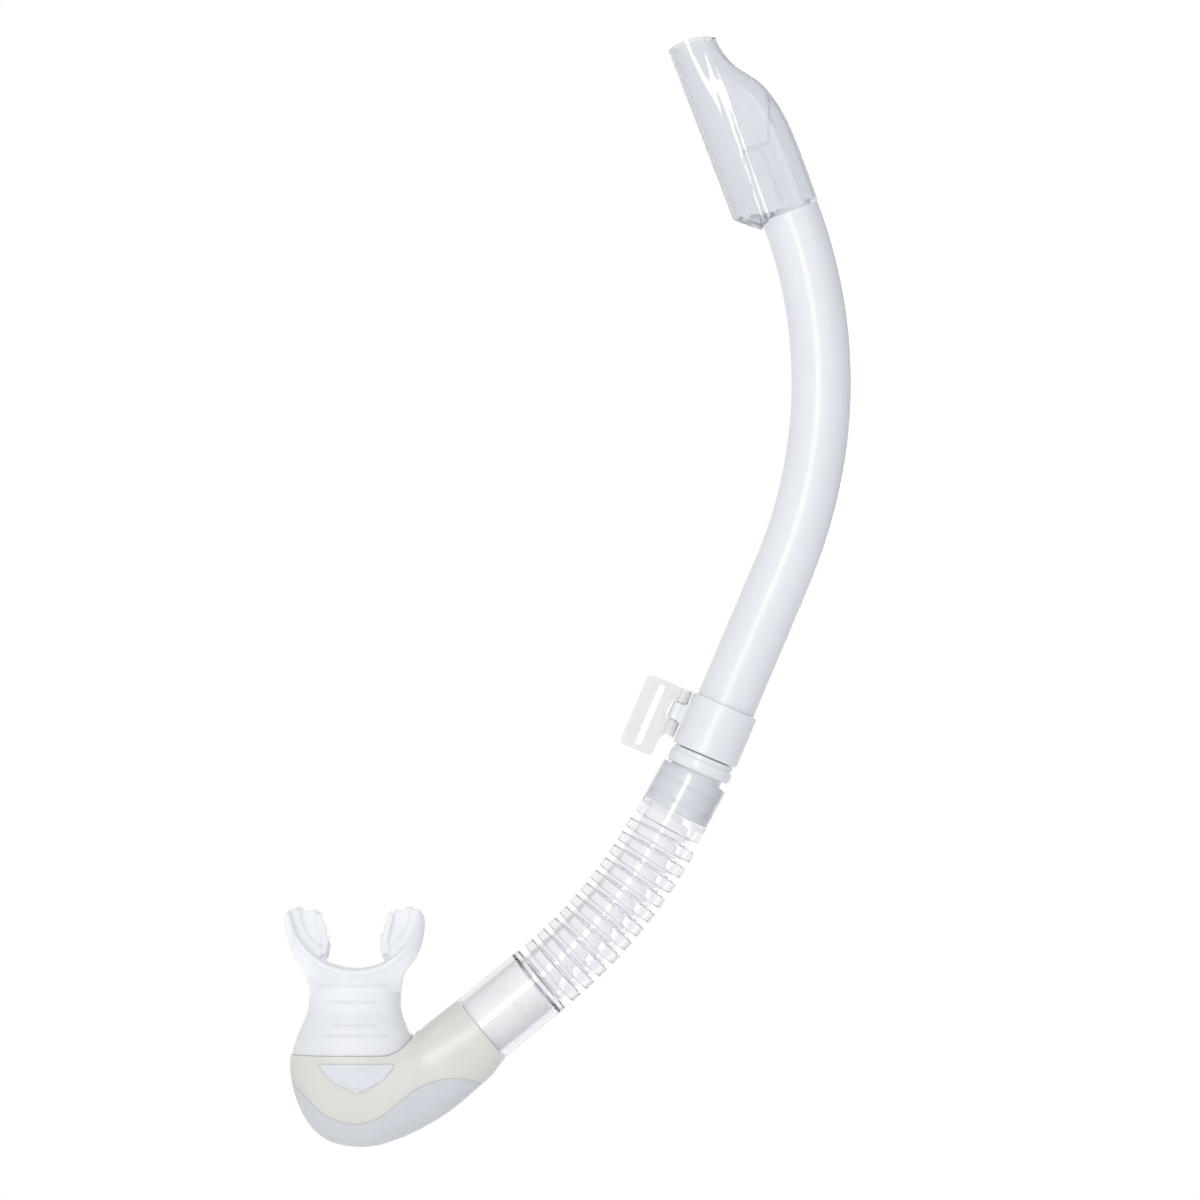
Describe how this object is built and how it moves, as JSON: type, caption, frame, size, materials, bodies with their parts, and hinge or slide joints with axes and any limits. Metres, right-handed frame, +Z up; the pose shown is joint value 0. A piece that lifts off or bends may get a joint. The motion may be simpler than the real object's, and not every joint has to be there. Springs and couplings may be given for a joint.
{
  "type": "snorkel tube",
  "caption": "Swim snorkel: curved barrel with splash guard, corrugated hose, purge chamber with mouthpiece, and a keeper with a hinged strap clip.",
  "frame": {"origin": "centre of the mask strap's slot in the keeper clip", "axes": "+Z up, along the snorkel's height; +X towards the barrel's outer bend; -Y faces the side that carries the badge; the snorkel is symmetric about the plane y = 0"},
  "size_m": [0.2208, 0.0356, 0.4321],
  "materials": {
    "white_plastic": "glossy milk-white moulded plastic",
    "milky_plastic": "slightly translucent white moulded plastic",
    "clear_plastic": "clear moulded plastic with a faint blue tint",
    "clear_silicone": "crystal-clear silicone",
    "sleeve_plastic": "warm white satin plastic",
    "ivory_plastic": "ivory satin plastic",
    "cover_plastic": "translucent bluish-white satin plastic",
    "frosted_silicone": "translucent frosted silicone",
    "seal_rubber": "black seal rubber"
  },
  "bodies": {
    "keeper_clip": {"keeper_clip": "milky_plastic", "keeper_pin": "white_plastic"},
    "keeper_collar": {"keeper_collar": "white_plastic"},
    "barrel": {"barrel": "white_plastic", "splash_guard": "clear_plastic", "guard_deflector": "clear_plastic", "hose_connector": "white_plastic", "hose_upper_cuff": "clear_silicone"},
    "ring_01": {"hose_ring_01": "clear_silicone"},
    "ring_02": {"hose_ring_02": "clear_silicone"},
    "ring_03": {"hose_ring_03": "clear_silicone"},
    "ring_04": {"hose_ring_04": "clear_silicone"},
    "ring_05": {"hose_ring_05": "clear_silicone"},
    "ring_06": {"hose_ring_06": "clear_silicone"},
    "ring_07": {"hose_ring_07": "clear_silicone"},
    "ring_08": {"hose_ring_08": "clear_silicone"},
    "ring_09": {"hose_ring_09": "clear_silicone"},
    "ring_10": {"hose_ring_10": "clear_silicone"},
    "ring_11": {"hose_ring_11": "clear_silicone"},
    "lower_cuff": {"hose_lower_cuff": "clear_silicone", "swivel_sleeve": "sleeve_plastic", "swivel_o_ring": "seal_rubber"},
    "chamber": {"mouthpiece_housing": "ivory_plastic", "bottom_cover": "cover_plastic", "badge": "cover_plastic", "purge_valve_seat": "ivory_plastic", "mouthpiece": "frosted_silicone"},
    "purge_flap": {"purge_flap": "frosted_silicone"}
  },
  "joints": [
    {"name": "clip_hinge", "type": "hinge", "parent": "keeper_clip", "child": "keeper_collar", "pos_m": [0.00846, 0, -0.00361], "axis": [0.3923, 0, 0.9198], "range_deg": [-30, 30]},
    {"name": "barrel_turn", "type": "hinge", "parent": "keeper_collar", "child": "barrel", "pos_m": [0.02364, 0, -0.01008], "axis": [0.3923, 0, 0.9198], "continuous": true},
    {"name": "hose_bend_side", "type": "hinge", "parent": "barrel", "child": "ring_01", "pos_m": [0.00579, 0, -0.04556], "axis": [0, 1, 0], "range_deg": [-6, 6], "stiffness_Nm_per_rad": 0.35},
    {"name": "hose_bend_fore", "type": "hinge", "parent": "ring_01", "child": "ring_02", "pos_m": [0.00233, 0, -0.05159], "axis": [0.8588, 0, -0.5122], "range_deg": [-6, 6], "stiffness_Nm_per_rad": 0.35},
    {"name": "hose_bend_side_2", "type": "hinge", "parent": "ring_02", "child": "ring_03", "pos_m": [-0.00115, 0, -0.05721], "axis": [0, 1, 0], "range_deg": [-6, 6], "stiffness_Nm_per_rad": 0.35},
    {"name": "hose_bend_fore_2", "type": "hinge", "parent": "ring_03", "child": "ring_04", "pos_m": [-0.00482, 0, -0.06271], "axis": [0.8224, 0, -0.5689], "range_deg": [-6, 6], "stiffness_Nm_per_rad": 0.35},
    {"name": "hose_bend_side_3", "type": "hinge", "parent": "ring_04", "child": "ring_05", "pos_m": [-0.00867, 0, -0.06808], "axis": [0, 1, 0], "range_deg": [-6, 6], "stiffness_Nm_per_rad": 0.35},
    {"name": "hose_bend_fore_3", "type": "hinge", "parent": "ring_05", "child": "ring_06", "pos_m": [-0.0127, 0, -0.07332], "axis": [0.7822, 0, -0.623], "range_deg": [-6, 6], "stiffness_Nm_per_rad": 0.35},
    {"name": "hose_bend_side_4", "type": "hinge", "parent": "ring_06", "child": "ring_07", "pos_m": [-0.0169, 0, -0.07842], "axis": [0, 1, 0], "range_deg": [-6, 6], "stiffness_Nm_per_rad": 0.35},
    {"name": "hose_bend_fore_4", "type": "hinge", "parent": "ring_07", "child": "ring_08", "pos_m": [-0.02128, 0, -0.08338], "axis": [0.7385, 0, -0.6742], "range_deg": [-6, 6], "stiffness_Nm_per_rad": 0.35},
    {"name": "hose_bend_side_5", "type": "hinge", "parent": "ring_08", "child": "ring_09", "pos_m": [-0.02582, 0, -0.08818], "axis": [0, 1, 0], "range_deg": [-6, 6], "stiffness_Nm_per_rad": 0.35},
    {"name": "hose_bend_fore_5", "type": "hinge", "parent": "ring_09", "child": "ring_10", "pos_m": [-0.03051, 0, -0.09283], "axis": [0.6914, 0, -0.7224], "range_deg": [-6, 6], "stiffness_Nm_per_rad": 0.35},
    {"name": "hose_bend_side_6", "type": "hinge", "parent": "ring_10", "child": "ring_11", "pos_m": [-0.03537, 0, -0.09732], "axis": [0, 1, 0], "range_deg": [-6, 6], "stiffness_Nm_per_rad": 0.35},
    {"name": "hose_bend_fore_6", "type": "hinge", "parent": "ring_11", "child": "lower_cuff", "pos_m": [-0.04063, 0, -0.10187], "axis": [0.6399, 0, -0.7685], "range_deg": [-6, 6], "stiffness_Nm_per_rad": 0.35},
    {"name": "mouthpiece_swivel", "type": "hinge", "parent": "lower_cuff", "child": "chamber", "pos_m": [-0.06558, 0, -0.1223], "axis": [0.7738, 0, 0.6334], "range_deg": [-60, 60]},
    {"name": "purge_lift", "type": "slide", "parent": "chamber", "child": "purge_flap", "axis": [0, 0, -1], "range_m": [0, 0.0015], "stiffness_N_per_m": 20, "springref_m": -0.001}
  ],
  "couplings": [
    {"joint": "hose_bend_side_2", "follows": "hose_bend_side", "ratio": 1},
    {"joint": "hose_bend_fore_2", "follows": "hose_bend_fore", "ratio": 1},
    {"joint": "hose_bend_side_3", "follows": "hose_bend_side", "ratio": 1},
    {"joint": "hose_bend_fore_3", "follows": "hose_bend_fore", "ratio": 1},
    {"joint": "hose_bend_side_4", "follows": "hose_bend_side", "ratio": 1},
    {"joint": "hose_bend_fore_4", "follows": "hose_bend_fore", "ratio": 1},
    {"joint": "hose_bend_side_5", "follows": "hose_bend_side", "ratio": 1},
    {"joint": "hose_bend_fore_5", "follows": "hose_bend_fore", "ratio": 1},
    {"joint": "hose_bend_side_6", "follows": "hose_bend_side", "ratio": 1},
    {"joint": "hose_bend_fore_6", "follows": "hose_bend_fore", "ratio": 1}
  ]
}
